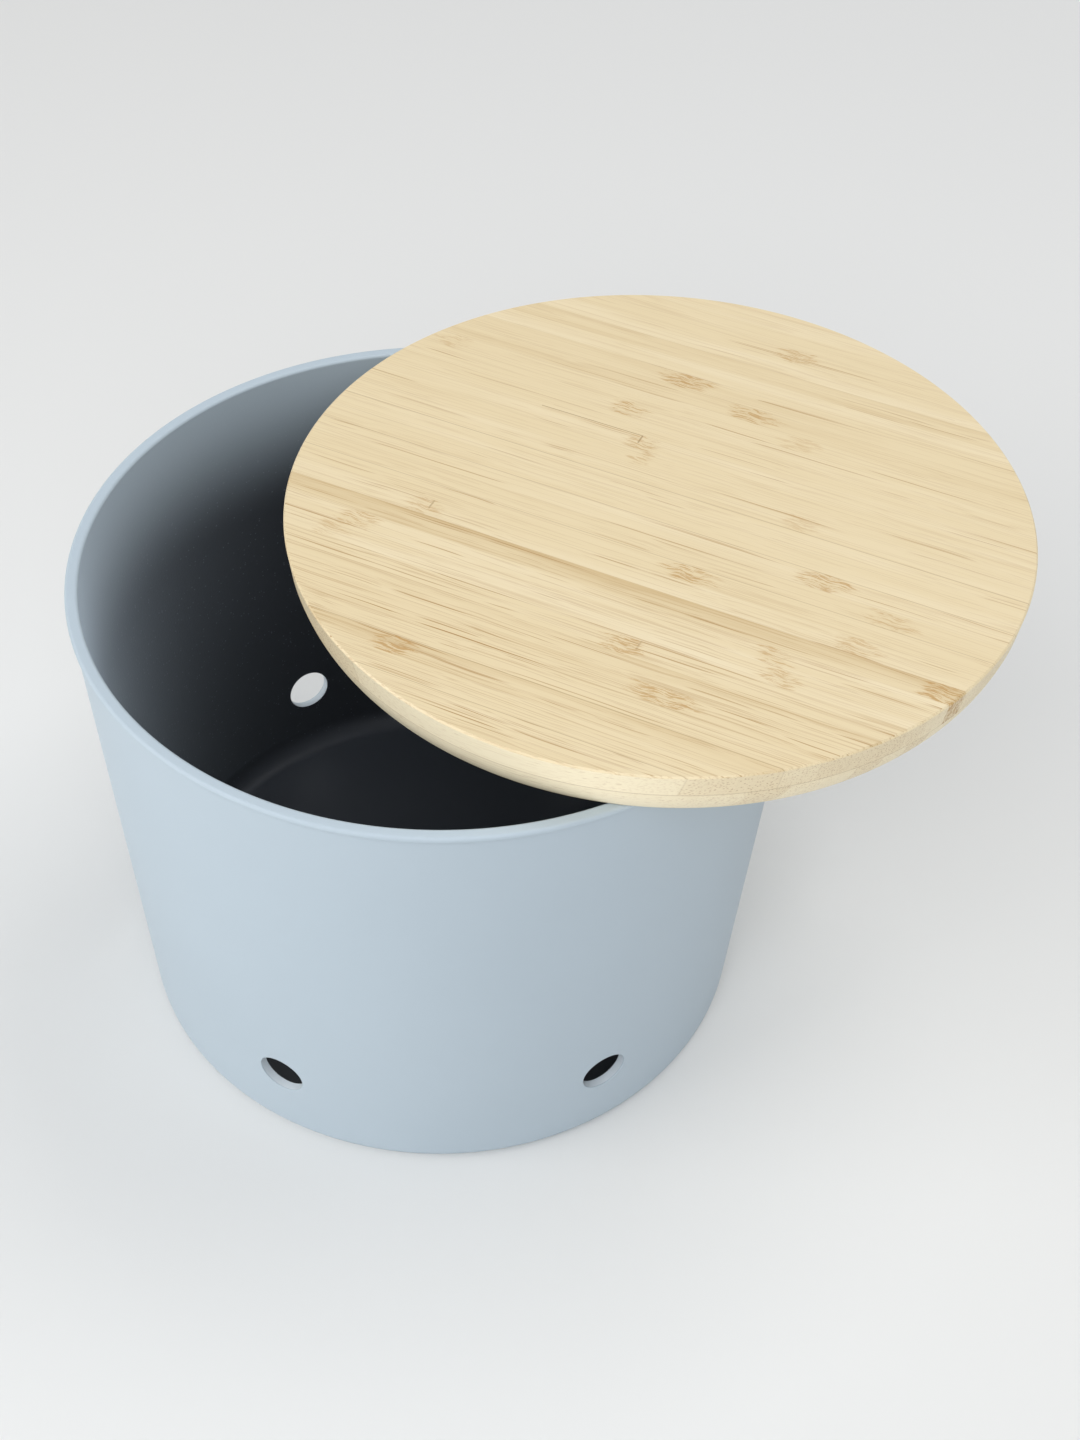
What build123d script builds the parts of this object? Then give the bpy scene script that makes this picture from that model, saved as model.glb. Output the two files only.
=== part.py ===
from build123d import *
import os
from math import atan2, cos, degrees, pi, sin

# Vegetable canister: a tapered pot with vent holes, and a loose lid glued up from strips of bamboo.
# Millimetres. Z is up, the origin is on the pot's axis in the plane it stands on, and -Y is the front.
# The lid is drawn where it lies: level on the rim, pushed aside, with the pot partly open.

# Pot, outside
pot_height = 148.0
rim_radius = 100.0
rim_overhang = 0.75      # how far the rim band stands proud of the wall under it
rim_band_height = 1.6
rim_round = 1.0          # rounding of the band's two upper edges, with a flat land left between them
base_radius = 89.3       # where the slope of the wall would meet the table
base_round = 3.5
round_flats = 3          # every rounding of the pot is drawn with this many short flats

# Pot, inside
wall_thickness = 2.8     # measured level
floor_thickness = 3.2
floor_round = 7.0        # corner between wall and floor

# Pot, underside: a low ring carries the pot and the middle stands clear of the table
foot_height = 1.0
foot_width = 5.0

# Vent holes, evenly spaced, with the front of the pot midway between two of them
vent_count = 6
vent_diameter = 13.5
vent_height = 26.5       # from the table to the middle of a hole, at the outside of the wall

# Lid, a round board of two layers
lid_setback = 0.2        # the lid's radius is this much less than the rim's
waist_setback = 0.9      # the board is this much smaller in radius where its two layers meet
entry_clearance = 1.95   # room all round between the lid's underside and the mouth of the pot
base_bow = 20.0          # radius on which the side of the base layer curves in, drawn with flats
bow_flats = 2
top_layer = 7.0
base_layer = 9.0
edge_ease = 0.5          # the board's two sharp edges are broken by this much

# Bamboo strips, seen with the grain running from left to right and the back of the lid away
strip_width = 6.42
top_joint = 0.6          # from the lid's centre back to the nearest joint of the top layer
base_joint = 3.1         # the same in the base layer, so that the joints don't line up
narrowest_strip = 1.5    # a sliver thinner than this stays part of its neighbour
grain_angle = -27.0      # direction of the grain, turned about Z from +X

# Top strips made of two lengths: {joints from the one nearest the centre: place along the grain}
butt_joints = {3: -16.3, -5: -54.5, -9: 16.3}

# Where the lid lies on the rim
lid_shift_x = 58.0
lid_shift_y = 4.3

# Sizes that follow from these
lean = (rim_radius - rim_overhang - base_radius) / pot_height
lean_angle = atan2(lean, 1)
floor_top = foot_height + floor_thickness
lid_radius = rim_radius - lid_setback
lid_thickness = base_layer + top_layer


def wall_radius(height):
    """Outer radius of the leaning wall at a height."""
    return base_radius + lean * height


def inner_radius(height):
    """Inner radius of the leaning wall at a height."""
    return wall_radius(height) - wall_thickness


def rounding(radius, start, turn, centre_radius, centre_height):
    """Points of a round corner about a centre, from one angle on through a turn, in radians."""
    angles = [start + turn * step / round_flats for step in range(round_flats + 1)]
    return [(centre_radius + radius * cos(a), centre_height + radius * sin(a)) for a in angles]


def turned(outline):
    """Solid made by turning a closed outline of (radius, height) points about the pot's axis."""
    return revolve(Plane.XZ * make_face(Polyline(*outline, close=True)), Axis.Z)


def wall_corner(radius, wall, height):
    """Rounding between a leaning wall, from where it meets a height, and the level plane there."""
    centre_height = height + radius
    centre_radius = wall(centre_height + radius * sin(-lean_angle)) - radius * cos(lean_angle)
    return rounding(radius, -pi / 2, pi / 2 - lean_angle, centre_radius, centre_height)


def pot_outline():
    """Section of the solid pot, with its foot ring and the proud band round the rim."""
    band_low = pot_height - rim_band_height
    foot_inside = base_radius - base_round - foot_width
    under = [(0, foot_height), (foot_inside - foot_height, foot_height), (foot_inside, 0)]
    band = [(wall_radius(band_low), band_low), (rim_radius, band_low)]
    edge = rounding(rim_round, 0, pi / 2, rim_radius - rim_round, pot_height - rim_round)
    return under + wall_corner(base_round, wall_radius, 0) + band + edge + [(0, pot_height)]


def cavity_outline():
    """Section of the room inside, which opens out over the rounded inner edge of the rim."""
    floor_corner = wall_corner(floor_round, inner_radius, floor_top)
    low = pot_height - rim_round
    lip = rounding(rim_round, pi - lean_angle, lean_angle - pi / 2, inner_radius(low) + rim_round, low)
    return [(0, floor_top)] + floor_corner + lip + [(lip[-1][0], pot_height + 1), (0, pot_height + 1)]


def vent_rods():
    """Rods that drill the vent holes, square to the wall."""
    at_wall = Pos(wall_radius(vent_height), 0, vent_height) * Rot(0, 90 + degrees(lean_angle), 0)
    step = 360 / vent_count
    places = [Rot(0, 0, (number + 0.5) * step - 90) * at_wall for number in range(vent_count)]
    return [place * Cylinder(vent_diameter / 2, 4 * wall_thickness) for place in places]


def pot():
    """The whole pot, turned, hollowed and drilled."""
    return turned(pot_outline()) - turned(cavity_outline()) - vent_rods()


def lid_board():
    """The lid in one piece. Its side draws in downward, so that it can enter the pot's mouth."""
    foot = (inner_radius(pot_height) - entry_clearance, 0)
    waist = (lid_radius - waist_setback, base_layer)
    head = (lid_radius, lid_thickness)
    bow = RadiusArc(foot, waist, -base_bow)
    side = [bow @ (step / bow_flats) for step in range(bow_flats + 1)]
    face = make_face(Polyline(*side, head, (0, lid_thickness), (0, 0), close=True))
    for corner in [foot, head]:
        nearest = face.vertices().sort_by_distance(Vector(*corner))[0]
        face = chamfer(nearest, edge_ease)
    return revolve(Plane.XZ * face, Axis.Z)


def strips_of(board, low, high, first_joint):
    """Cut one layer of the board along its joints: {number of the joint in front of it: strip}."""
    reach = lid_radius - narrowest_strip
    front = -int((reach + first_joint) / strip_width)
    back = int((reach - first_joint) / strip_width)
    joints = {number: first_joint + number * strip_width for number in range(front, back + 1)}
    strips = {}
    for number in range(front - 1, back + 1):
        near = joints.get(number, -2 * lid_radius)
        far = joints.get(number + 1, 2 * lid_radius)
        middle = Pos(0, (near + far) / 2, (low + high) / 2)
        strips[number] = board & middle * Box(4 * lid_radius, far - near, high - low)
    return strips


def two_lengths(strip, place):
    """The lengths of a strip to the left and right of a butt joint."""
    size = 4 * lid_radius
    left = Pos(place - size / 2, 0, 0) * Box(size, size, size)
    return [("_left", strip & left), ("_right", strip - left)]


def lid_pieces():
    """Every bamboo piece with its name, about the centre of the lid's underside."""
    board = lid_board()
    pieces = {}
    top_strips = strips_of(board, base_layer, lid_thickness, top_joint)
    for order, number in enumerate(top_strips, start=1):
        lengths = [("", top_strips[number])]
        if number in butt_joints:
            lengths = two_lengths(top_strips[number], butt_joints[number])
        for side, length in lengths:
            pieces[f"lid_top_strip_{order:02d}{side}"] = length
    base_strips = [strip.solid() for strip in strips_of(board, 0, base_layer, base_joint).values()]
    pieces["lid_base_strips_odd"] = Compound(children=base_strips[0::2])
    pieces["lid_base_strips_even"] = Compound(children=base_strips[1::2])
    return pieces


def main():
    """Put every piece in its place and write one file for each."""
    on_rim = Pos(lid_shift_x, lid_shift_y, pot_height) * Rot(0, 0, grain_angle)
    pieces = {"pot": pot()}
    for name, piece in lid_pieces().items():
        pieces[name] = on_rim * piece
    os.makedirs("parts", exist_ok=True)
    for name, piece in pieces.items():
        export_step(piece, f"parts/{name}.step")
    print(len(pieces), "nodes,", sum(len(piece.solids()) for piece in pieces.values()), "solids")


main()
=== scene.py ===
# %% [markdown]
# # A vegetable canister with a bamboo lid
# The pot is one turned form with six vent holes, pale outside and nearly black inside. The lid is a
# round board glued up from narrow bamboo strips, lying askew on the rim. The construction comes in as
# a fixed frame, in metres with Z up. This script gives it its surfaces, its light and its camera.

# %% Load the frame
from math import asin, atan2, cos, degrees, pi, radians, sin, sqrt

import bpy
from mathutils import Matrix, Vector


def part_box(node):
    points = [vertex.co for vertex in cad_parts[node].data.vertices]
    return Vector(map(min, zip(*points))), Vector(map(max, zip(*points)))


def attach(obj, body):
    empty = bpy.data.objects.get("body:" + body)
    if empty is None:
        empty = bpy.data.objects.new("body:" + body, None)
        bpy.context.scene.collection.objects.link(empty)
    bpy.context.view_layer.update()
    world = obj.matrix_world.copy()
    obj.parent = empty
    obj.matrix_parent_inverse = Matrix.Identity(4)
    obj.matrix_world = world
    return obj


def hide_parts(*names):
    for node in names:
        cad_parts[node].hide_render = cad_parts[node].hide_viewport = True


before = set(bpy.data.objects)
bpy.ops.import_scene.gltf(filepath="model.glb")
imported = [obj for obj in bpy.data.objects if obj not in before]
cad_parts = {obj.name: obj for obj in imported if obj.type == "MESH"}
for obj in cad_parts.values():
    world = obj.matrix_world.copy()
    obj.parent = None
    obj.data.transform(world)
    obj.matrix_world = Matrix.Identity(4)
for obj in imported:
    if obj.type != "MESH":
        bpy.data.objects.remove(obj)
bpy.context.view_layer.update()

# %% [markdown]
# ## Sizes
# The frame's own boxes give the main sizes, so the looks follow the construction. What a box can't
# tell, such as a wall's thickness or a rounding, is repeated here in millimetres.

# %% Sizes from the frame
mm = 0.001
pot_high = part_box("pot")[1]
pot_height = pot_high.z / mm
rim_radius = pot_high.x / mm

lid_nodes = sorted(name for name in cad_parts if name.startswith("lid_"))
top_nodes = [name for name in lid_nodes if name.startswith("lid_top_strip_")]
lid_low = Vector([min(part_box(name)[0][axis] for name in lid_nodes) for axis in range(3)])
lid_high = Vector([max(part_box(name)[1][axis] for name in lid_nodes) for axis in range(3)])
lid_centre = Vector(((lid_low.x + lid_high.x) / 2, (lid_low.y + lid_high.y) / 2, lid_low.z))
lid_radius = (lid_high.x - lid_low.x) / 2 / mm
base_layer = (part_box("lid_base_strips_odd")[1].z - lid_low.z) / mm
lid_thickness = (lid_high.z - lid_low.z) / mm
print("pot", round(pot_height, 2), "high, rim radius", round(rim_radius, 2))
print("lid radius", round(lid_radius, 2), "layers", round(base_layer, 2), round(lid_thickness, 2))

# %% Sizes repeated from the construction
rim_overhang = 0.75
rim_band_height = 1.6
rim_round = 1.0
base_radius = 89.3
base_round = 3.5
wall_thickness = 2.8
floor_top = 4.2
floor_round = 7.0
foot_height = 1.0
foot_width = 5.0
vent_count = 6
vent_diameter = 13.5
vent_height = 26.5
waist_setback = 0.9
entry_clearance = 1.95
base_bow = 20.0
edge_ease = 0.5
strip_width = 6.42
top_joint = 0.6
base_joint = 3.1
narrowest_strip = 1.5
grain_angle = radians(-27)
lean = (rim_radius - rim_overhang - base_radius) / pot_height
lean_angle = atan2(lean, 1)
print("the wall leans out by", round(degrees(lean_angle), 2), "degrees")

# %% [markdown]
# ## Camera
# The picture was taken from in front and above, at about arm's length, with the camera turned down by
# almost 45 degrees. A camera could be aimed by hand until the outlines agree. Here its place and its
# three turns were worked out from the rim, the foot and the vents, so they are plain numbers. A
# camera in Blender looks along its own -Z with its own Y upward, so its matrix is made of three
# directions: right, up, and back.

# %% Place the camera
picture_height = 1440
focal_pixels = 2190.39
sensor_size = 36.0
nearest_seen = 0.01
camera_pitch = radians(44.745)
camera_yaw = radians(3.591)
camera_roll = radians(2.416)
camera_place = Vector((0, -447.5, 532.83)) * mm

level_ahead = Vector((sin(camera_yaw), cos(camera_yaw), 0))
level_right = Vector((cos(camera_yaw), -sin(camera_yaw), 0))
ahead = cos(camera_pitch) * level_ahead - sin(camera_pitch) * Vector((0, 0, 1))
level_up = level_right.cross(ahead)
camera_right = cos(camera_roll) * level_right + sin(camera_roll) * level_up
camera_up = cos(camera_roll) * level_up - sin(camera_roll) * level_right

camera_data = bpy.data.cameras.new("camera")
camera_data.sensor_fit = "VERTICAL"
camera_data.sensor_height = sensor_size
camera_data.lens = focal_pixels * sensor_size / picture_height
camera_data.dof.use_dof = False
camera_data.clip_start = nearest_seen
camera = bpy.data.objects.new("camera", camera_data)
turn = Matrix((camera_right, camera_up, -ahead)).transposed()
camera.matrix_world = Matrix.Translation(camera_place) @ turn.to_4x4()
bpy.context.scene.collection.objects.link(camera)
bpy.context.scene.camera = camera
print("lens", round(camera_data.lens, 2), "mm")

# %% [markdown]
# ## Helpers for materials
# A material in Blender is a graph: nodes that each work something out, and links that carry the
# result to the next socket. The graph could be drawn by hand in the editor. Written as calls that
# return a socket, it reads like sums, and a strip's finish can be made for every strip in a loop.

# %% Helper for colours
def colour(red, green, blue):
    """A linear colour from the 0 to 255 values that a picture shows."""
    shares = [value / 255 for value in (red, green, blue)]
    return tuple(s / 12.92 if s <= 0.04045 else ((s + 0.055) / 1.055) ** 2.4 for s in shares) + (1.0,)


print("a middle grey is", [round(share, 3) for share in colour(128, 128, 128)[:3]])


# %% Helpers for nodes
def fill(tree, socket, value):
    """Give a socket a link if the value is another socket, or else a fixed value."""
    if isinstance(value, bpy.types.NodeSocket):
        tree.links.new(value, socket)
    else:
        socket.default_value = value


def put(tree, kind, feeds=None, **settings):
    """Add a node of a kind, with its settings and what feeds its inputs."""
    made = tree.nodes.new(kind)
    for name, value in settings.items():
        setattr(made, name, value)
    for name, value in (feeds or {}).items():
        fill(tree, made.inputs[name], value)
    return made


def calc(tree, operation, *values):
    """The result of one sum on values or sockets."""
    made = put(tree, "ShaderNodeMath", operation=operation)
    for socket, value in zip(made.inputs, values):
        fill(tree, socket, value)
    return made.outputs[0]


def vector_calc(tree, operation, *vectors):
    """The result of one sum on vectors."""
    return put(tree, "ShaderNodeVectorMath", dict(enumerate(vectors)), operation=operation).outputs[0]


def between(tree, value, low, high, start=0.0, end=1.0):
    """A smooth change from start to end while the value goes from low to high."""
    feeds = {"Value": value, "From Min": low, "From Max": high, "To Min": start, "To Max": end}
    return put(tree, "ShaderNodeMapRange", feeds, interpolation_type="SMOOTHSTEP").outputs["Result"]


def blend(tree, share, first, second):
    """A colour that goes from the first to the second as the share goes from 0 to 1."""
    made = put(tree, "ShaderNodeMix", data_type="RGBA")
    for place, value in ((0, share), (6, first), (7, second)):
        fill(tree, made.inputs[place], value)
    return made.outputs[2]


def noise(tree, vector, **feeds):
    """The value of a noise at a vector."""
    return put(tree, "ShaderNodeTexNoise", {"Vector": vector, "Scale": 1.0, **feeds}).outputs["Fac"]


def looked_at(tree):
    """1 for what the camera sees directly, mirrored or through glass, and 0 for light on its way."""
    rays = tree.nodes.new("ShaderNodeLightPath").outputs
    seen = calc(tree, "MAXIMUM", rays["Is Camera Ray"], rays["Is Glossy Ray"])
    return calc(tree, "MAXIMUM", seen, rays["Is Transmission Ray"])


# %% Helpers for groups and materials
def new_group(name, inputs, outputs):
    """An empty node group with named sockets: (group, its inputs, its output node's sockets)."""
    group = bpy.data.node_groups.new(name, "ShaderNodeTree")
    for direction, sockets in (("INPUT", inputs), ("OUTPUT", outputs)):
        for label, kind in sockets.items():
            group.interface.new_socket(label, in_out=direction, socket_type="NodeSocket" + kind)
    entry = group.nodes.new("NodeGroupInput")
    way_out = group.nodes.new("NodeGroupOutput")
    return group, entry.outputs, way_out.inputs


def use_group(tree, group, feeds=None):
    """Place a group in a material, and return its outputs."""
    return put(tree, "ShaderNodeGroup", feeds, node_tree=group).outputs


def shader_of(finish):
    """Node tree and surface shader of a material."""
    finish.use_nodes = True
    return finish.node_tree, finish.node_tree.nodes["Principled BSDF"]


def new_material(name):
    """A material with only a surface shader: (material, node tree, shader)."""
    finish = bpy.data.materials.new(name)
    return finish, *shader_of(finish)


# %% [markdown]
# ## Light
# Soft daylight in a room: an even pale surround, a broad window low on the left, a stronger one high
# in front, and a skylight behind on the right. One sun lamp would be simpler, but it draws hard
# shadows. Together these light a plain surface so that its colour renders about as it is written.
# The surround looks paler than the light it gives, so that the background stays pale and plain.

# %% Surround
surround_strength = 0.41
seen_strength = 0.8
surround = bpy.data.worlds.new("surround")
surround.use_nodes = True
tree = surround.node_tree
sky = tree.nodes["Background"]
sky.inputs["Color"].default_value = colour(250, 252, 255)
feeds = {"Value": looked_at(tree), "To Min": surround_strength, "To Max": seen_strength}
fill(tree, sky.inputs["Strength"], put(tree, "ShaderNodeMapRange", feeds).outputs["Result"])
bpy.context.scene.world = surround
bpy.context.scene.view_settings.view_transform = "Standard"
print("surround gives", surround_strength, "and looks", seen_strength)

# %% Windows
pot_mouth = Vector((0, 0, 0.15))


def window(name, place, width, power, tint):
    """A square soft light at a place, facing the pot's mouth, in metres and watts."""
    light = bpy.data.lights.new(name, "AREA")
    light.size = width
    light.energy = power
    light.color = tint[:3]
    lamp = bpy.data.objects.new(name, light)
    lamp.location = place
    lamp.rotation_euler = (pot_mouth - Vector(place)).to_track_quat("-Z", "Y").to_euler()
    bpy.context.scene.collection.objects.link(lamp)


window("window_left", (-1.5, -0.5, 0.75), width=1.1, power=11.5, tint=colour(255, 253, 250))
window("window_front", (-0.2, -1.35, 1.5), width=1.2, power=16, tint=colour(250, 252, 255))
window("skylight", (0.8, 0.45, 1.85), width=1.2, power=12, tint=colour(255, 255, 255))

# %% [markdown]
# ## Floor
# A plain pale floor, wide enough that every view sees only floor and surround. It isn't part of the
# object, so it is staged. Far away, where the lamps don't reach, it would turn grey. More lamps would
# cure that but change the light on the pot, so it is given a glow there that only what looks at it
# sees.

# %% Lay the floor
floor_size = 12.0
paper = colour(233, 233, 231)
paper_drift = colour(235, 235, 234)
no_glow = (0, 0, 0, 1)
far_glow = colour(178, 179, 180)
fade_start, fade_end = 0.6, 3.2

bpy.ops.mesh.primitive_plane_add(size=floor_size, location=(0, 0, 0))
floor = bpy.context.object
floor.name = "floor"
floor_finish, tree, shader = new_material("floor_paper")
clouds = put(tree, "ShaderNodeTexNoise", {"Scale": 3.0, "Detail": 2.0}).outputs["Fac"]
fill(tree, shader.inputs["Base Color"], blend(tree, clouds, paper, paper_drift))
shader.inputs["Roughness"].default_value = 0.9
floor_place = tree.nodes.new("ShaderNodeTexCoord").outputs["Object"]
how_far = put(tree, "ShaderNodeVectorMath", {0: floor_place}, operation="LENGTH").outputs["Value"]
glow = calc(tree, "MULTIPLY", between(tree, how_far, fade_start, fade_end), looked_at(tree))
fill(tree, shader.inputs["Emission Color"], blend(tree, glow, no_glow, far_glow))
shader.inputs["Emission Strength"].default_value = 1.0
floor.data.materials.append(floor_finish)
print("floor", floor_size, "m wide, glowing from", fade_start, "m on")

# %% [markdown]
# ## The pot's form
# A pot like this is a form of revolution. Blender's Spin tool or Screw modifier would turn a line into
# such a form. Here its section is written as points of radius and height and carried round in rings,
# so that the faces' order tells which of them are outside. The roundings are true arcs. The section
# runs from the axis under the pot, out over the foot ring, up the wall, over the rim and down the
# inside to the axis again. The wall has a few extra rows beside the vents, which keep the faces there
# small, so that the smooth shading isn't bent by the holes.

# %% Section of the pot
def arc(centre_radius, centre_height, radius, start, end, steps):
    """Points of (radius, height) along an arc, from one angle to another in radians."""
    turns = [start + (end - start) * step / steps for step in range(steps + 1)]
    return [(centre_radius + radius * cos(t), centre_height + radius * sin(t)) for t in turns]


def outer_wall(height):
    """Outer radius of the leaning wall."""
    return base_radius + lean * height


def inner_wall(height):
    """Inner radius of the leaning wall."""
    return outer_wall(height) - wall_thickness


def corner(radius, wall, height, steps):
    """The rounding between the level at a height and the leaning wall, from the level upward."""
    centre_height = height + radius
    centre_radius = wall(centre_height - radius * sin(lean_angle)) - radius * cos(lean_angle)
    return arc(centre_radius, centre_height, radius, -pi / 2, -lean_angle, steps)


small_round_steps = 8
large_round_steps = 12
row_gap = 2.7
rows_by_vents = range(-4, 5)
vent_rows = [vent_height + row_gap * row for row in rows_by_vents]
foot_inside = base_radius - base_round - foot_width
band_low = pot_height - rim_band_height
low = pot_height - rim_round

under_side = [(0, foot_height), (foot_inside - foot_height, foot_height), (foot_inside, 0)]
base_corner = corner(base_round, outer_wall, 0, small_round_steps)
outer_rows = [(outer_wall(row), row) for row in vent_rows]
band = [(outer_wall(band_low), band_low), (rim_radius, band_low)]
rim_outside = arc(rim_radius - rim_round, low, rim_round, 0, pi / 2, small_round_steps)
rim_middle = inner_wall(low) + rim_round
rim_inside = arc(rim_middle, low, rim_round, pi / 2, pi - lean_angle, small_round_steps)
inner_rows = [(inner_wall(row), row) for row in reversed(vent_rows)]
floor_corner = corner(floor_round, inner_wall, floor_top, large_round_steps)[::-1]
outside = under_side + base_corner + outer_rows + band + rim_outside
section = outside + rim_inside + inner_rows + floor_corner + [(0, floor_top)]
coat_from_ring = len(outside) + len(rim_inside) - 2
print("section with", len(section), "points")


# %% Turn the section
def turned_mesh(name, outline, steps):
    """A closed mesh from an outline whose first and last points are on the axis."""
    rings = outline[1:-1]
    points = [(0, 0, outline[0][1] * mm)]
    for radius, height in rings:
        for step in range(steps):
            turn_by = 2 * pi * step / steps
            points.append((radius * cos(turn_by) * mm, radius * sin(turn_by) * mm, height * mm))
    points.append((0, 0, outline[-1][1] * mm))
    last = len(points) - 1
    faces = []
    for step in range(steps):
        after = (step + 1) % steps
        faces.append((0, 1 + after, 1 + step))
        for ring in range(len(rings) - 1):
            near, far = 1 + ring * steps, 1 + (ring + 1) * steps
            faces.append((near + step, near + after, far + after, far + step))
        top = 1 + (len(rings) - 1) * steps
        faces.append((last, top + step, top + after))
    mesh = bpy.data.meshes.new(name)
    mesh.from_pydata(points, [], faces)
    mesh.update()
    return mesh


ring_steps = 288
pot_mesh = turned_mesh("pot_body_shell", section, ring_steps)
pot_finish = bpy.data.materials.new("pot_pale_skin")
coat_finish = bpy.data.materials.new("pot_dark_coat")
pot_mesh.materials.append(pot_finish)
pot_mesh.materials.append(coat_finish)
faces_a_step = len(section) - 1
for face in pot_mesh.polygons:
    if face.index % faces_a_step >= coat_from_ring:
        face.material_index = 1
pot = bpy.data.objects.new("pot_moulding", pot_mesh)
bpy.context.scene.collection.objects.link(pot)
print("pot", len(pot_mesh.vertices), "points")

# %% [markdown]
# ## Vent holes
# Six round holes let the vegetables breathe. They could be painted on as dark discs, but then they
# would have no walls and no light would pass. They are drilled instead, square to the wall, so each
# drill is laid along the wall's own normal and a Boolean takes it away.

# %% Drill the holes
drill_sides = 96
drill_half_length = 2 * wall_thickness


def vent_drill(number):
    """A rod through the wall at one of the evenly spaced places."""
    radius = vent_diameter / 2
    turns = [2 * pi * (side + 0.5) / drill_sides for side in range(drill_sides)]
    ring = [(radius * cos(t), radius * sin(t)) for t in turns]
    levels = (-drill_half_length, drill_half_length)
    points = [(x * mm, y * mm, z * mm) for z in levels for x, y in ring]
    faces = [tuple(range(drill_sides))[::-1], tuple(range(drill_sides, 2 * drill_sides))]
    for side in range(drill_sides):
        after = (side + 1) % drill_sides
        faces.append((side, after, drill_sides + after, drill_sides + side))
    mesh = bpy.data.meshes.new("vent_drill")
    mesh.from_pydata(points, [], faces)
    drill = bpy.data.objects.new("vent_drill", mesh)
    azimuth = radians((number + 0.5) * 360 / vent_count - 90)
    outward = Matrix.Rotation(azimuth, 4, "Z")
    at_wall = Matrix.Translation((outer_wall(vent_height) * mm, 0, vent_height * mm))
    tilt = Matrix.Rotation(pi / 2 + lean_angle, 4, "Y")
    drill.matrix_world = outward @ at_wall @ tilt
    bpy.context.scene.collection.objects.link(drill)
    return drill


def keep_result(piece):
    """Make what the modifiers show the piece's own mesh."""
    shown = piece.evaluated_get(bpy.context.evaluated_depsgraph_get())
    mesh = bpy.data.meshes.new_from_object(shown)
    piece.modifiers.clear()
    piece.data = mesh


drills = [vent_drill(number) for number in range(vent_count)]
for drill in drills:
    cut = pot.modifiers.new("vent", "BOOLEAN")
    cut.operation = "DIFFERENCE"
    cut.solver = "EXACT"
    cut.object = drill
bpy.context.view_layer.update()
keep_result(pot)
for drill in drills:
    bpy.data.objects.remove(drill)
print("pot with vents", len(pot.data.polygons), "faces")

# %% [markdown]
# ## Softened edges
# No moulded edge is perfectly sharp, and a sharp one catches no light. Edges could be rounded one by
# one, but a Bevel that looks at the angle finds them all, also round the holes. Weighted normals then
# let the large faces decide the shading, so that the wall stays smooth beside the narrow bevels.

# %% Break the hard edges
edge_break = 0.3
hard_angle = radians(40)
crease_angle = radians(50)
ease = pot.modifiers.new("edge_break", "BEVEL")
ease.width = edge_break * mm
ease.segments = 2
ease.limit_method = "ANGLE"
ease.angle_limit = hard_angle
ease.use_clamp_overlap = False
ease.loop_slide = True
keep_result(pot)
for face in pot.data.polygons:
    face.use_smooth = True
pot.data.set_sharp_from_angle(angle=crease_angle)
even = pot.modifiers.new("even_normals", "WEIGHTED_NORMAL")
even.keep_sharp = True
keep_result(pot)
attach(pot, "pot_body")
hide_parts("pot")
print("pot finished", len(pot.data.polygons), "faces")

# %% [markdown]
# ## The pot's finish
# Outside it is a pale grey blue with a very fine matte grain. Inside it wears a nearly black satin
# coat with tiny light specks. Pictures of the surfaces would do, but they stretch on a round form and
# blur close up. A solid texture has neither fault. Both finishes share one group that makes the
# moulded skin: a fine grain for the bump, specks, and a slow drift that keeps large areas from
# looking flat.

# %% Group for a moulded skin
skin_group, skin_in, skin_out = new_group(
    "moulded_skin",
    {"Grain Size": "Float", "Drift Size": "Float", "Speck Share": "Float"},
    {"Grain": "Float", "Drift": "Float", "Specks": "Float"},
)
skin_place = skin_group.nodes.new("ShaderNodeTexCoord").outputs["Object"]
grain_scale = calc(skin_group, "DIVIDE", 1 / mm, skin_in["Grain Size"])
drift_scale = calc(skin_group, "DIVIDE", 1 / mm, skin_in["Drift Size"])
fill(skin_group, skin_out["Grain"], noise(skin_group, skin_place, Scale=grain_scale, Detail=3.0))
fill(skin_group, skin_out["Drift"], noise(skin_group, skin_place, Scale=drift_scale, Detail=1.0))
speck_feeds = {"Vector": skin_place, "Scale": grain_scale}
speck_cells = put(skin_group, "ShaderNodeTexVoronoi", speck_feeds).outputs
speck_pick = put(skin_group, "ShaderNodeSeparateColor", {"Color": speck_cells["Color"]}).outputs["Red"]
chosen = calc(skin_group, "LESS_THAN", speck_pick, skin_in["Speck Share"])
speck_spot = between(skin_group, speck_cells["Distance"], 0.42, 0.2)
fill(skin_group, skin_out["Specks"], calc(skin_group, "MULTIPLY", chosen, speck_spot))
print("moulded skin", len(skin_group.nodes), "nodes")

# %% Where a point of the pot is
pot_place_group, _, pot_place_out = new_group("pot_place", {}, {"Height": "Float", "Depth": "Float"})
pot_point = pot_place_group.nodes.new("ShaderNodeTexCoord").outputs["Object"]
pot_axes = put(pot_place_group, "ShaderNodeSeparateXYZ", {"Vector": pot_point}).outputs
level_feeds = {"X": pot_axes["X"], "Y": pot_axes["Y"]}
level = put(pot_place_group, "ShaderNodeCombineXYZ", level_feeds).outputs[0]
from_axis = put(pot_place_group, "ShaderNodeVectorMath", {0: level}, operation="LENGTH").outputs["Value"]
height_here = calc(pot_place_group, "DIVIDE", pot_axes["Z"], mm)
wall_here = calc(pot_place_group, "MULTIPLY_ADD", height_here, lean, base_radius)
radius_here = calc(pot_place_group, "DIVIDE", from_axis, mm)
fill(pot_place_group, pot_place_out["Height"], height_here)
fill(pot_place_group, pot_place_out["Depth"], calc(pot_place_group, "SUBTRACT", wall_here, radius_here))
print("place in the pot", len(pot_place_group.nodes), "nodes")

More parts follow.
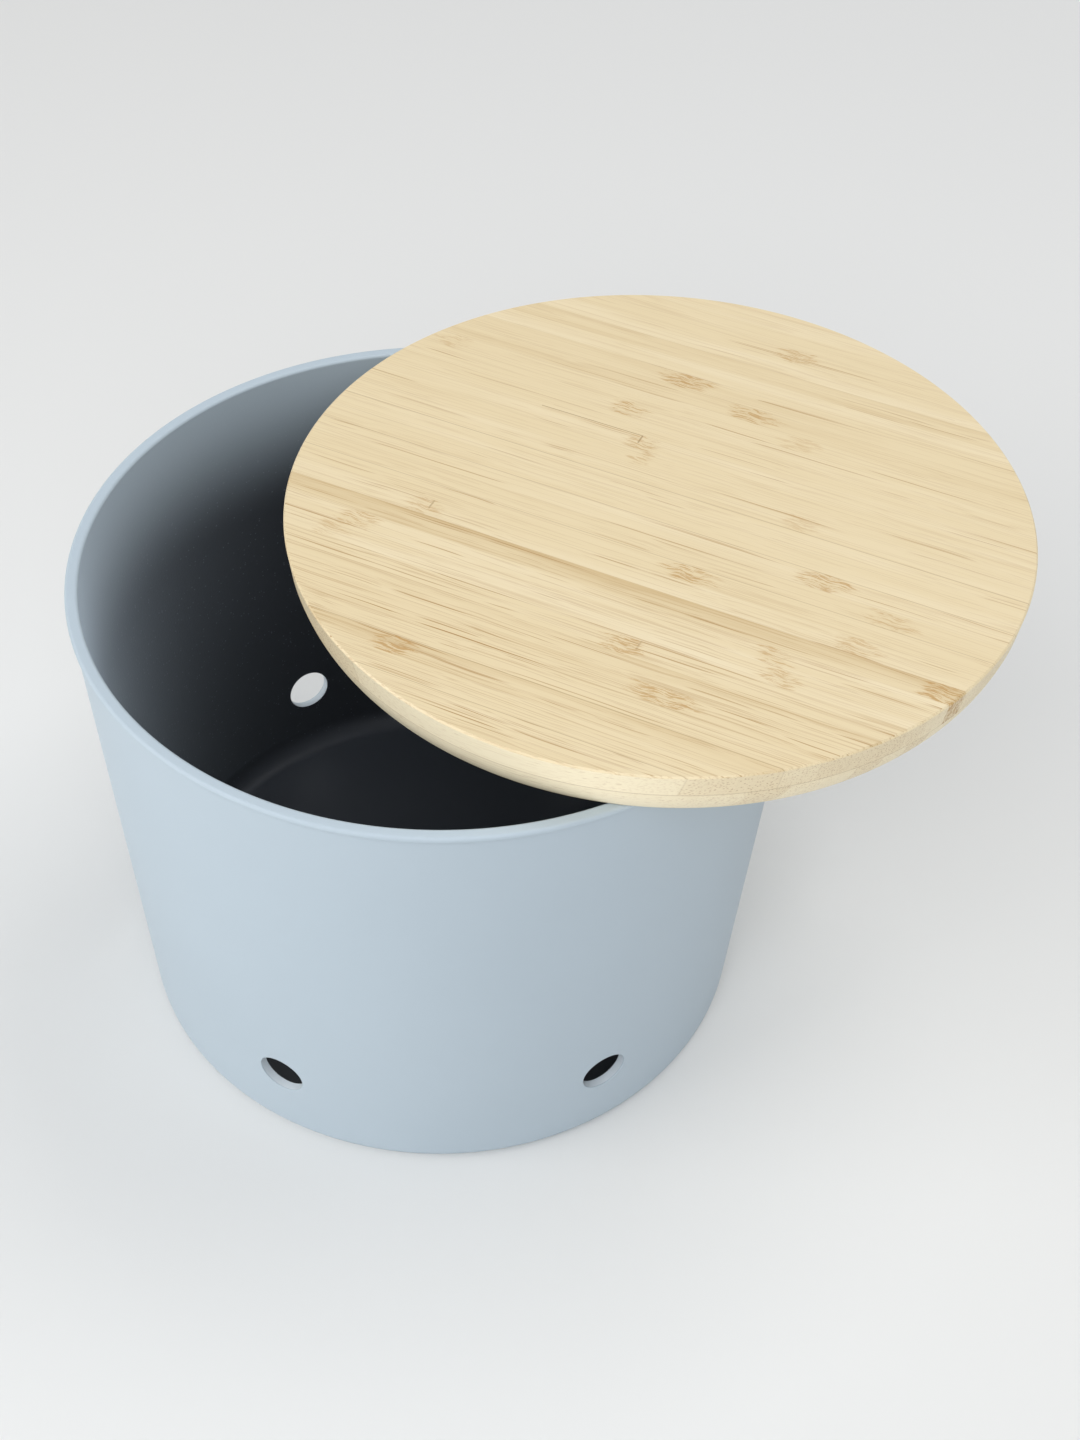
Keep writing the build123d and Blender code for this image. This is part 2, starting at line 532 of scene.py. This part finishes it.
# %% [markdown]
# ## The pale skin
# The skin goes on through the vents, where the drilled wall is a little paler than the moulded face,
# and the last bit of it is dark with spray from the inside. The holes could have a third material,
# but the depth under the outer face already tells where their walls are, so it is used as a mask.

# %% Pale outside, with the vents' walls
pale = colour(186, 200, 210)
pale_deep = colour(181, 195, 205)
pale_cut = colour(216, 226, 233)
dark = colour(40, 42, 47)
cut_depth = 0.25
overspray_depth = 2.55
overspray_full = wall_thickness - 0.1
vents_below = pot_height / 2

tree, shader = shader_of(pot_finish)
skin = use_group(tree, skin_group, {"Grain Size": 0.6, "Drift Size": 60.0, "Speck Share": 0.03})
where = use_group(tree, pot_place_group)
low_enough = between(tree, where["Height"], vents_below, vents_below - 1)
above_foot = between(tree, where["Height"], base_round, base_round + 1)
by_vents = calc(tree, "MULTIPLY", low_enough, above_foot)
cut_face = calc(tree, "MULTIPLY", between(tree, where["Depth"], cut_depth, 2 * cut_depth), by_vents)
overspray = between(tree, where["Depth"], overspray_depth, overspray_full)
overspray = calc(tree, "MULTIPLY", overspray, by_vents)
skin_here = blend(tree, skin["Drift"], pale, pale_deep)
skin_here = blend(tree, cut_face, skin_here, pale_cut)
fill(tree, shader.inputs["Base Color"], blend(tree, overspray, skin_here, dark))
shader.inputs["Roughness"].default_value = 0.52
relief = put(tree, "ShaderNodeBump", {"Strength": 0.25, "Distance": 0.05 * mm, "Height": skin["Grain"]})
fill(tree, shader.inputs["Normal"], relief.outputs["Normal"])
print("pale skin", len(tree.nodes), "nodes")

# %% [markdown]
# ## The dark coat
# Under the rim the dark is blended into the pale by the height, so it ends without a line: painted light
# for the light that falls in at the mouth, and painted shade deeper down. An edge between two materials
# would be too sharp for that.
# The surface is slightly velvety and looks paler at a flat angle, which sheen gives.

# %% Dark inside, with painted light under the rim
# The inside floor's colour is painted light: lighter than the dark wall, for the light that falls on it.
floor_painted_light = colour(68, 72, 79)
speck = colour(92, 97, 104)
rim_light_depth = 48.0
rim_light_power = 1.2

tree, shader = shader_of(coat_finish)
skin = use_group(tree, skin_group, {"Grain Size": 0.7, "Drift Size": 40.0, "Speck Share": 0.06})
where = use_group(tree, pot_place_group)
# Painted light: towards the rim the coat is blended into the pale, for the light that falls in at the
# mouth; deeper down the dark stands for the shade there.
below_rim = calc(tree, "SUBTRACT", pot_height, where["Height"])
rim_light_share = calc(tree, "POWER", between(tree, below_rim, rim_light_depth, 0.0), rim_light_power)
# Painted light: the floor inside is blended lighter than the wall, for the light that falls on it from
# above.
floor_light_share = between(tree, where["Height"], floor_top + floor_round, floor_top)
coat_here = blend(tree, skin["Specks"], dark, speck)
coat_here = blend(tree, floor_light_share, coat_here, floor_painted_light)
coat_here = blend(tree, rim_light_share, coat_here, pale_deep)
fill(tree, shader.inputs["Base Color"], coat_here)
shader.inputs["Roughness"].default_value = 0.45
shader.inputs["Sheen Weight"].default_value = 1.0
shader.inputs["Sheen Tint"].default_value = colour(222, 236, 248)
shader.inputs["Sheen Roughness"].default_value = 0.42
relief = put(tree, "ShaderNodeBump", {"Strength": 0.35, "Distance": 0.06 * mm, "Height": skin["Grain"]})
fill(tree, shader.inputs["Normal"], relief.outputs["Normal"])
print("dark coat", len(tree.nodes), "nodes")

# %% [markdown]
# ## Bamboo
# Bamboo is a bundle of long dark fibres in a pale body. Sawn along, the bundles show as fine lines;
# sawn across, as dots. A picture of bamboo could be laid on the top, but the sides would not match
# it. One solid texture gives both: cells that are small across the grain and very long along it. It
# lives in the lid's own directions: u along the grain, v across it, w up.

# %% Group for the lid's directions
lid_frame_group, _, lid_frame_out = new_group(
    "lid_directions",
    {},
    {"UVW": "Vector", "U": "Float", "V": "Float", "W": "Float", "Side": "Float", "End": "Float"},
)
lid_point = lid_frame_group.nodes.new("ShaderNodeTexCoord").outputs
feeds = {"Vector": lid_point["Object"], "Location": lid_centre, "Rotation": (0, 0, grain_angle)}
feeds["Scale"] = (mm, mm, mm)
lid_uvw = put(lid_frame_group, "ShaderNodeMapping", feeds, vector_type="TEXTURE").outputs["Vector"]
lid_axes = put(lid_frame_group, "ShaderNodeSeparateXYZ", {"Vector": lid_uvw}).outputs
fill(lid_frame_group, lid_frame_out["UVW"], lid_uvw)
for label, axis in (("U", "X"), ("V", "Y"), ("W", "Z")):
    fill(lid_frame_group, lid_frame_out[label], lid_axes[axis])
feeds = {"Vector": lid_point["Normal"], "Rotation": (0, 0, grain_angle)}
facing = put(lid_frame_group, "ShaderNodeMapping", feeds, vector_type="TEXTURE").outputs["Vector"]
facing_axes = put(lid_frame_group, "ShaderNodeSeparateXYZ", {"Vector": facing}).outputs
upright = calc(lid_frame_group, "ABSOLUTE", facing_axes["Z"])
along_grain = calc(lid_frame_group, "ABSOLUTE", facing_axes["X"])
fill(lid_frame_group, lid_frame_out["Side"], between(lid_frame_group, upright, 0.7, 0.55))
fill(lid_frame_group, lid_frame_out["End"], between(lid_frame_group, along_grain, 0.2, 0.6))
print("lid's directions", len(lid_frame_group.nodes), "nodes")

# %% Group for the fibres
fibre_group, fibre_in, fibre_out = new_group(
    "bamboo_fibres",
    {"UVW": "Vector", "Seed": "Float", "Sway": "Float", "Density": "Float"},
    {"Bundles": "Float", "Hairs": "Float", "Drift": "Float", "Dots": "Float"},
)
seed_in = fibre_in["Seed"]

# How often each pattern repeats in a millimetre, along the grain and across it
repeats = {
    "sway": (0.03, 0.12),
    "bundles": (0.012, 1.55),
    "crowds": (0.008, 0.5),
    "hairs": (0.014, 2.2),
    "drift": (0.018, 0.3),
    "ends": (0.01, 1.9),
}
crowd_range = 1.2
least_girth, girth_range = 0.22, 0.2
core_share = 0.6
least_darkness, darkness_range = 0.3, 0.7


def stretched(vector, pattern):
    """The vector scaled for a pattern, and moved to the seed's own part of it."""
    along, across = repeats[pattern]
    scaled = vector_calc(fibre_group, "MULTIPLY", vector, (along, across, across))
    offset = put(fibre_group, "ShaderNodeCombineXYZ", {"X": seed_in, "Y": seed_in, "Z": seed_in})
    return vector_calc(fibre_group, "ADD", scaled, offset.outputs[0])


sway = noise(fibre_group, stretched(fibre_in["UVW"], "sway"), Detail=1.0)
sway = calc(fibre_group, "MULTIPLY", calc(fibre_group, "SUBTRACT", sway, 0.5), fibre_in["Sway"])
swayed = put(fibre_group, "ShaderNodeCombineXYZ", {"Y": sway, "Z": sway}).outputs[0]
path = vector_calc(fibre_group, "ADD", fibre_in["UVW"], swayed)

feeds = {"Vector": stretched(path, "bundles"), "Scale": 1.0, "Randomness": 0.95}
cells = put(fibre_group, "ShaderNodeTexVoronoi", feeds).outputs
pick = put(fibre_group, "ShaderNodeSeparateColor", {"Color": cells["Color"]}).outputs
crowd = noise(fibre_group, stretched(path, "crowds"), Detail=1.0)
crowd = calc(fibre_group, "MULTIPLY_ADD", crowd, crowd_range, -crowd_range / 2)
limit = calc(fibre_group, "ADD", fibre_in["Density"], crowd)
grown = calc(fibre_group, "LESS_THAN", pick["Blue"], limit)
girth = calc(fibre_group, "MULTIPLY_ADD", pick["Red"], girth_range, least_girth)
core = calc(fibre_group, "MULTIPLY", girth, core_share)
darkness = calc(fibre_group, "MULTIPLY_ADD", pick["Green"], darkness_range, least_darkness)
bundle = calc(fibre_group, "MULTIPLY", between(fibre_group, cells["Distance"], girth, core), darkness)
fill(fibre_group, fibre_out["Bundles"], calc(fibre_group, "MULTIPLY", bundle, grown))

hairs = noise(fibre_group, stretched(path, "hairs"), Detail=2.0, Roughness=0.7)
fill(fibre_group, fibre_out["Hairs"], hairs)
fill(fibre_group, fibre_out["Drift"], noise(fibre_group, stretched(path, "drift"), Detail=2.0))
feeds = {"Vector": stretched(path, "ends"), "Scale": 1.0, "Randomness": 0.8}
fibre_ends = put(fibre_group, "ShaderNodeTexVoronoi", feeds).outputs["Distance"]
fill(fibre_group, fibre_out["Dots"], between(fibre_group, fibre_ends, 0.34, 0.18))
print("fibres", len(fibre_group.nodes), "nodes")

# %% [markdown]
# ## Knuckles
# A bamboo stalk is divided every hand's breadth or so by a knuckle, where the fibres swirl. In a strip
# it shows as a short brownish patch with curved lines, as wide as the strip. The lines could be drawn
# as curves, but no single stroke matters. A noise that is bent and cut off sharply gives such curls,
# inside a patch with ragged ends.

# %% Group for a knuckle
knuckle_group, knuckle_in, knuckle_out = new_group(
    "bamboo_knuckle",
    {"UVW": "Vector", "U Place": "Float", "V Place": "Float", "Length": "Float", "Strength": "Float"},
    {"Stain": "Float", "Lines": "Float"},
)
streak_repeats = (0.06, 1.1, 0.6)
line_repeats = (0.22, 2.5, 0.6)
ragged_reach = 14.0
edge_taper = 0.4
wave_turns, wave_height, wobble_height = 0.8, 0.25, 0.5

knuckle_axes = put(knuckle_group, "ShaderNodeSeparateXYZ", {"Vector": knuckle_in["UVW"]}).outputs
wobble = noise(knuckle_group, knuckle_in["UVW"], Scale=0.35, Detail=2.0)
along = calc(knuckle_group, "SUBTRACT", knuckle_axes["X"], knuckle_in["U Place"])
across = calc(knuckle_group, "SUBTRACT", knuckle_axes["Y"], knuckle_in["V Place"])
streaks = vector_calc(knuckle_group, "MULTIPLY", knuckle_in["UVW"], streak_repeats)
streaky = noise(knuckle_group, streaks, Detail=2.0)
streaky = calc(knuckle_group, "MULTIPLY_ADD", streaky, ragged_reach, -ragged_reach / 2)
ragged = calc(knuckle_group, "ADD", along, streaky)
far_along = calc(knuckle_group, "DIVIDE", calc(knuckle_group, "ABSOLUTE", ragged), knuckle_in["Length"])
far_across = calc(knuckle_group, "DIVIDE", calc(knuckle_group, "ABSOLUTE", across), strip_width / 2)
taper = calc(knuckle_group, "MULTIPLY", calc(knuckle_group, "POWER", far_across, 2.0), edge_taper)
far_off = calc(knuckle_group, "ADD", far_along, taper)
patch = calc(knuckle_group, "MULTIPLY", between(knuckle_group, far_off, 1.15, 0.6), knuckle_in["Strength"])

wave = calc(knuckle_group, "SINE", calc(knuckle_group, "MULTIPLY_ADD", along, wave_turns, wobble))
bend = calc(knuckle_group, "MULTIPLY", wobble, wobble_height)
bend = calc(knuckle_group, "MULTIPLY_ADD", wave, wave_height, bend)
sideways = put(knuckle_group, "ShaderNodeCombineXYZ", {"Y": bend}).outputs[0]
bent = vector_calc(knuckle_group, "ADD", knuckle_in["UVW"], sideways)
bent = vector_calc(knuckle_group, "MULTIPLY", bent, line_repeats)
curls = between(knuckle_group, noise(knuckle_group, bent, Detail=3.0, Roughness=0.6), 0.5, 0.55)
fill(knuckle_group, knuckle_out["Stain"], patch)
fill(knuckle_group, knuckle_out["Lines"], calc(knuckle_group, "MULTIPLY", patch, curls))
print("knuckle", len(knuckle_group.nodes), "nodes")

# %% [markdown]
# ## One strip's finish
# Each strip gets its own material from the shared groups. One material with a chance colour for each
# object would be shorter, but here the tones have to fall where they do on the real lid. A strip's
# own numbers are its tone, how crowded its fibres are, and which of its long edges is the darker one,
# as it was nearer the bark. The finish is built up in layers, as the next cells show.

# %% Colours of bamboo
bamboo_pale = colour(241, 226, 193)
bamboo_mid = colour(230, 211, 171)
bamboo_deep = colour(206, 179, 131)
# The side's colour is painted light: paler than the top, for the light that falls on the board's side.
side_painted_light = colour(255, 243, 212)
fibre_brown = colour(170, 128, 70)
knuckle_brown = colour(188, 144, 80)
joint_brown = colour(160, 128, 84)
print("bamboo from", [round(s, 2) for s in bamboo_pale[:3]], "to", [round(s, 2) for s in bamboo_deep[:3]])


# %% The body, before its fibres
drift_share = 0.5
edge_share = 0.6
# Painted light: how far the board's long sides and its cut ends are blended towards the paler side colour.
long_side_light, end_side_light = 0.85, 0.6


def bamboo_body(tree, where, drift, off_middle, tone, edge_tone, end_tone):
    """The body's colour, deeper with its tone, towards one edge, and where the fibres end."""
    cut_ends = calc(tree, "MULTIPLY", where["End"], where["Side"])
    shade = calc(tree, "MULTIPLY_ADD", drift, drift_share, tone - drift_share / 2)
    shade = calc(tree, "MULTIPLY_ADD", off_middle, edge_share * edge_tone, shade)
    shade = calc(tree, "MULTIPLY_ADD", cut_ends, end_tone, shade)
    body = blend(tree, between(tree, shade, 0.0, 0.5), bamboo_pale, bamboo_mid)
    body = blend(tree, between(tree, shade, 0.5, 1.0), body, bamboo_deep)
    # Painted light on the board's side: blended paler than the top, less where the fibres end.
    ends_less_light = end_side_light - long_side_light
    side_light_share = calc(tree, "MULTIPLY_ADD", where["End"], ends_less_light, long_side_light)
    return blend(tree, calc(tree, "MULTIPLY", where["Side"], side_light_share), body, side_painted_light)


# %% The fibres
share_on_side = 0.3
hair_least, hair_by_density = 0.06, 0.42
bundle_least, bundle_by_density = 0.45, 0.7
dot_least, dot_by_tone = 0.3, 0.4


def less_on_side(tree, where, value):
    """The value as it is on top, and only a part of it on the board's side."""
    shown = calc(tree, "MULTIPLY_ADD", where["Side"], share_on_side - 1, 1.0)
    return calc(tree, "MULTIPLY", value, shown)


def add_fibres(tree, body, where, fibres, density, end_tone):
    """The body with hairs, bundles, and dots where fibres end, and their relief: (colour, height)."""
    hairs = between(tree, fibres["Hairs"], 0.5, 0.64)
    fine = less_on_side(tree, where, hairs)
    lines = less_on_side(tree, where, fibres["Bundles"])
    dots = calc(tree, "MULTIPLY", calc(tree, "MULTIPLY", fibres["Dots"], where["End"]), where["Side"])
    marks = (
        (fine, hair_least + hair_by_density * density),
        (lines, bundle_least + bundle_by_density * density),
        (dots, dot_least + dot_by_tone * end_tone),
    )
    for mark, darkness in marks:
        body = blend(tree, calc(tree, "MULTIPLY", mark, darkness), body, fibre_brown)
    return body, calc(tree, "ADD", hairs, fibres["Bundles"])


# %% The marks on a strip
stain_share, line_share = 0.16, 0.68
joint_from, joint_full = 0.94, 0.99
cut_half_width, cut_core = 0.35, 0.1
seam_from, seam_full, seam_darkness = 0.88, 0.96, 0.8
layer_line_darkness = 0.35


def add_knuckle(tree, body, relief, where, middle, knuckle):
    """The body and its relief with a knuckle: (colour, height)."""
    place, length, strength = knuckle
    feeds = {"UVW": where["UVW"], "U Place": place, "V Place": middle, "Length": length}
    feeds["Strength"] = strength
    mark = use_group(tree, knuckle_group, feeds)
    body = blend(tree, calc(tree, "MULTIPLY", mark["Stain"], stain_share), body, bamboo_deep)
    body = blend(tree, calc(tree, "MULTIPLY", mark["Lines"], line_share), body, knuckle_brown)
    return body, calc(tree, "ADD", relief, mark["Lines"])


def add_joints(tree, body, where, off_middle, joints):
    """The body with the glue lines at its front and back edges."""
    for side, darkness in zip((-1, 1), joints):
        towards_edge = calc(tree, "MULTIPLY", off_middle, side)
        at_joint = between(tree, towards_edge, joint_from, joint_full)
        at_joint = less_on_side(tree, where, at_joint)
        body = blend(tree, calc(tree, "MULTIPLY", at_joint, darkness), body, joint_brown)
    return body


def add_cut(tree, body, where, off_middle, place, darkness, seam=None):
    """The body with a butt joint on its back half, and a dark seam behind it if there is one."""
    off_cut = calc(tree, "ABSOLUTE", calc(tree, "SUBTRACT", where["U"], place))
    cut_line = between(tree, off_cut, cut_half_width, cut_core, 0.0, darkness)
    cut_line = calc(tree, "MULTIPLY", cut_line, calc(tree, "GREATER_THAN", off_middle, -0.1))
    body = blend(tree, cut_line, body, joint_brown)
    if seam:
        dark_seam = between(tree, off_middle, seam_from, seam_full, 0.0, seam_darkness)
        dark_seam = calc(tree, "MULTIPLY", dark_seam, calc(tree, "GREATER_THAN", where["U"], seam[0]))
        dark_seam = calc(tree, "MULTIPLY", dark_seam, calc(tree, "LESS_THAN", where["U"], seam[1]))
        body = blend(tree, dark_seam, body, joint_brown)
    return body


def add_layer_line(tree, body, where):
    """The body with the glue line between the lid's two layers, which shows on the side."""
    off_layer = calc(tree, "ABSOLUTE", calc(tree, "SUBTRACT", where["W"], base_layer))
    layer_line = calc(tree, "MULTIPLY", between(tree, off_layer, 0.3, 0.1), where["Side"])
    return blend(tree, calc(tree, "MULTIPLY", layer_line, layer_line_darkness), body, joint_brown)


# %% The whole finish
plain_joints = (0.1, 0.1)
fibre_sway = 1.5


def bamboo(name, seed, middle, look, knuckles=(), joints=plain_joints, cut=None):
    """A strip's finish. Middle is its place across the lid in millimetres. A look has a tone, a
    density and an end tone from 0 to 1, and may have an edge tone, which darkens the back edge."""
    finish, tree, shader = new_material(name)
    tone, density, end_tone = look["tone"], look["density"], look["end_tone"]
    edge_tone = look.get("edge_tone", 0.0)
    where = use_group(tree, lid_frame_group)
    off_middle = calc(tree, "DIVIDE", calc(tree, "SUBTRACT", where["V"], middle), strip_width / 2)
    crowding = calc(tree, "MULTIPLY_ADD", off_middle, edge_tone, density)
    feeds = {"UVW": where["UVW"], "Seed": seed, "Sway": fibre_sway, "Density": crowding}
    fibres = use_group(tree, fibre_group, feeds)
    body = bamboo_body(tree, where, fibres["Drift"], off_middle, tone, edge_tone, end_tone)
    body, relief = add_fibres(tree, body, where, fibres, density, end_tone)
    for knuckle in knuckles:
        body, relief = add_knuckle(tree, body, relief, where, middle, knuckle)
    body = add_joints(tree, body, where, off_middle, joints)
    if cut:
        body = add_cut(tree, body, where, off_middle, **cut)
    fill(tree, shader.inputs["Base Color"], add_layer_line(tree, body, where))
    shader.inputs["Roughness"].default_value = 0.5
    grooves = {"Strength": 0.3, "Distance": 0.04 * mm, "Height": relief}
    fill(tree, shader.inputs["Normal"], put(tree, "ShaderNodeBump", grooves, invert=True).outputs["Normal"])
    return finish


def dress(piece, finish):
    """Give a piece one finish all over."""
    piece.data.materials.clear()
    piece.data.materials.append(finish)


# %% [markdown]
# ## The lid's upper layer
# Every strip came from another piece of bamboo, so each has its own tone, and its knuckles fall where
# they will. The strips are pieces of the construction already, so they only need their finish. They
# are numbered from the front of the lid to the back. What makes each one different is listed by that
# number, as it looks on the real lid, and a strip that isn't listed is a plain one.

# %% What each top strip is like
plain = {"tone": 0.44, "density": 0.26, "end_tone": 0.3}
strip_looks = {
    1: {"tone": 0.5, "density": 0.5, "end_tone": 0.25},
    2: {"tone": 0.5, "density": 0.7, "end_tone": 0.2},
    3: {"tone": 0.4, "density": 0.65, "end_tone": 0.7},
    4: {"tone": 0.64, "density": 0.65, "end_tone": 0.9, "edge_tone": 0.12},
    5: {"tone": 0.54, "density": 0.65},
    6: {"tone": 0.5, "density": 0.7, "end_tone": 0.45},
    7: {"tone": 0.62, "density": 0.62, "end_tone": 0.9, "edge_tone": 0.12},
    8: {"tone": 0.42, "density": 0.62, "end_tone": 0.6},
    9: {"tone": 0.3, "density": 0.4, "end_tone": 0.5},
    10: {"tone": 0.42, "density": 0.58},
    11: {"tone": 0.64, "density": 0.6, "end_tone": 1.2, "edge_tone": 0.14},
    12: {"tone": 0.4, "density": 0.35},
    13: {"tone": 0.5, "density": 0.35},
    16: {"tone": 0.38},
    17: {"tone": 0.38},
    19: {"tone": 0.38},
    22: {"tone": 0.38},
    23: {"tone": 0.52},
    24: {"tone": 0.55, "density": 0.3},
    25: {"tone": 0.58},
    26: {"tone": 0.4},
    27: {"tone": 0.56},
    28: {"tone": 0.4},
}
print("strips with a look of their own", len(strip_looks))

# %% Knuckles, dark joints and butt joints
# A knuckle is its place along the grain, half its length, and how strong it is. A dark joint goes by
# the strip in front of it. A cut is a butt joint, which lies where the construction has one.
strip_knuckles = {
    29: [(9, 6, 0.8)],
    25: [(-15, 8, 1.0)],
    24: [(8, 8, 1.0)],
    23: [(24, 5, 0.4), (-82, 5, 0.5)],
    22: [(-24, 6, 1.0)],
    20: [(-15, 5, 0.8)],
    19: [(-13, 3, 0.6)],
    18: [(36, 6, 0.4)],
    15: [(49, 8, 1.0)],
    14: [(70, 7, 0.6)],
    13: [(17.5, 7, 1.0)],
    12: [(-56, 5, 0.6), (66, 6, 0.6)],
    11: [(90, 6, 1.2)],
    10: [(-69, 6, 0.8), (48, 5, 0.8)],
    9: [(-74, 5, 0.5), (52, 5, 0.7)],
    8: [(12.5, 6, 0.9)],
    6: [(29, 10, 1.0)],
    4: [(-38, 6, 1.1)],
}
dark_joints_behind = {2: 0.5, 4: 0.5, 13: 0.4, 15: 0.4, 17: 0.5}
strip_cuts = {
    20: {"place": -16.3, "darkness": 0.7, "seam": (-47.0, -16.3)},
    12: {"place": -54.5, "darkness": 0.5},
    8: {"place": 16.3, "darkness": 0.3},
}
print("knuckles", sum(len(knuckles) for knuckles in strip_knuckles.values()))

# %% Dress the top strips
first_behind_centre = 17
tone_swing = 0.07
swing_step = 2.4
seed_step, seed_of_right_length = 7.3, 3.1


def strip_middle(order):
    """Where the middle of a top strip lies across the lid, in millimetres."""
    return top_joint + (order - first_behind_centre + 0.5) * strip_width


for name in top_nodes:
    order = int(name.split("_")[3])
    look = {**plain, **strip_looks.get(order, {})}
    look["tone"] += tone_swing * sin(order * swing_step)
    seed = order * seed_step + (seed_of_right_length if name.endswith("right") else 0)
    marks = {
        "knuckles": strip_knuckles.get(order, []),
        "joints": tuple(dark_joints_behind.get(place, plain_joints[0]) for place in (order - 1, order)),
        "cut": strip_cuts.get(order),
    }
    dress(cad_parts[name], bamboo(name + "_bamboo", seed, strip_middle(order), look, **marks))
print("top strips", len(top_nodes))

# %% [markdown]
# ## The lid's lower layer
# The side of the lower layer curves in, so that the lid can sink into the mouth of the pot. The
# construction draws that curve with a few flats, so these strips are made anew with a true curve. A
# turned board could be cut up with Booleans, but a strip is simple enough to write down: two curved
# ends that follow the round board, and flat faces between their borders.

# %% Section of the lower layer's side
bow_steps = 10
ease_steps = 4


def eased(start, sharp, end, steps):
    """Points of a soft corner from start to end, drawn towards the sharp corner between them."""
    shares = [step / steps for step in range(steps + 1)]
    return [tuple((1 - s) ** 2 * start + 2 * s * (1 - s) * sharp + s**2 * end) for s in shares]


foot = Vector((inner_wall(pot_height) - entry_clearance, 0))
waist = Vector((lid_radius - waist_setback, base_layer))
chord = waist - foot
to_centre = Vector((-chord.y, chord.x)).normalized() * sqrt(base_bow**2 - (chord.length / 2) ** 2)
bow_centre = (foot + waist) / 2 + to_centre
first_turn = atan2(foot.y - bow_centre.y, foot.x - bow_centre.x) + edge_ease / base_bow
last_turn = atan2(waist.y - bow_centre.y, waist.x - bow_centre.x)
bow_points = arc(bow_centre.x, bow_centre.y, base_bow, first_turn, last_turn, bow_steps)
foot_ease = eased(foot - Vector((edge_ease, 0)), foot, Vector(bow_points[0]), ease_steps)
base_side = foot_ease + bow_points[1:]
print("side of the lower layer:", len(base_side), "points from", base_side[0], "to", base_side[-1])


# %% Points and faces of one strip
def curved_turns(radius, near, far):
    """Angles between which a curved face runs at a radius: a strip's end, or a whole segment's side."""
    first = asin(max(-1, near / radius))
    last = asin(min(1, far / radius))
    if far > radius:
        return first, pi - first
    if near < -radius:
        return -pi - last, last
    return first, last


def curved_points(end, near, far, side, steps):
    """Rows of points on a curved face, from the underside up."""
    points = []
    for radius, height in side:
        first, last = curved_turns(radius, near, far)
        for step in range(steps + 1):
            turn_by = first + (last - first) * step / steps
            points.append((end * radius * cos(turn_by) * mm, radius * sin(turn_by) * mm, height * mm))
    return points


def curved_faces(end, start, rows, width):
    """Faces between the rows of a curved face whose points begin at start, turned outward."""
    faces = []
    for row in range(rows - 1):
        for step in range(width - 1):
            a = start + row * width + step
            quad = (a, a + 1, a + width + 1, a + width)
            faces.append(quad if end == 1 else quad[::-1])
    return faces


def flat_faces(both_ends, rows, width):
    """The underside, the upper face, and the one or two long faces."""
    block = rows * width
    under = list(range(width))
    over = [block - width + point for point in under]
    front = [row * width for row in range(rows)]
    back = [point + width - 1 for point in front]
    if not both_ends:
        return [under[::-1], over, front[::-1] + back]
    under_far, over_far, front_far, back_far = (
        [block + point for point in border] for border in (under, over, front, back)
    )
    return [under_far + under[::-1], over + over_far[::-1], front_far + front[::-1], back + back_far[::-1]]


# %% [markdown]
# ## Smooth ends, crisp edges
# The curved ends are shaded smooth, the flat faces flat. Marking only the faces isn't enough: the
# renderer would still let the shading lean over the border, and every joint would get a bright line
# beside it. So the flat faces' edges are marked as sharp too.

# %% Mesh of one strip
def strip_mesh(name, near, far, side, steps):
    """A strip of a round board between two distances from its middle, with ends that follow the side."""
    both_ends = near > -side[0][0] and far < side[0][0]
    rows, width = len(side), steps + 1
    points, faces = [], []
    for end in (1, -1) if both_ends else (1,):
        faces += curved_faces(end, len(points), rows, width)
        points += curved_points(end, near, far, side, steps)
    curved_count = len(faces)
    mesh = bpy.data.meshes.new(name)
    mesh.from_pydata(points, [], faces + flat_faces(both_ends, rows, width))
    flat_edges = set()
    for face in mesh.polygons:
        face.use_smooth = face.index < curved_count
        if not face.use_smooth:
            flat_edges.update(face.edge_keys)
    for edge in mesh.edges:
        edge.use_edge_sharp = edge.key in flat_edges
    mesh.update()
    return mesh


# %% Make the strips of the lower layer
end_steps = 12
segment_steps = 96
tone_middle, tone_range = 0.28, 0.16
first_base_seed, base_seed_step = 300, 5.7
deep_ended = (2, 4, 7, 9, 14, 17, 22, 27)
lid_matrix = Matrix.Translation(lid_centre) @ Matrix.Rotation(grain_angle, 4, "Z")
first_joint = -int((lid_radius - narrowest_strip + base_joint) / strip_width)
last_joint = int((lid_radius - narrowest_strip - base_joint) / strip_width)

for order, number in enumerate(range(first_joint - 1, last_joint + 1), start=1):
    near = base_joint + number * strip_width if number >= first_joint else -2 * lid_radius
    far = base_joint + (number + 1) * strip_width if number < last_joint else 2 * lid_radius
    steps = segment_steps if number in (first_joint - 1, last_joint) else end_steps
    name = f"lid_base_strip_{order:02d}"
    piece = bpy.data.objects.new(name, strip_mesh(name, near, far, base_side, steps))
    bpy.context.scene.collection.objects.link(piece)
    piece.data.transform(lid_matrix)
    look = {
        "tone": tone_middle + tone_range * sin(order * swing_step),
        "density": 0.35 + 0.3 * (order % 2),
        "end_tone": 0.9 if order in deep_ended else 0.15,
    }
    seed = first_base_seed + order * base_seed_step
    dress(piece, bamboo(name + "_bamboo", seed, base_joint + (number + 0.5) * strip_width, look))
    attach(piece, "lid")
    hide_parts("lid_base_strips_odd" if order % 2 else "lid_base_strips_even")
print("base strips", order)
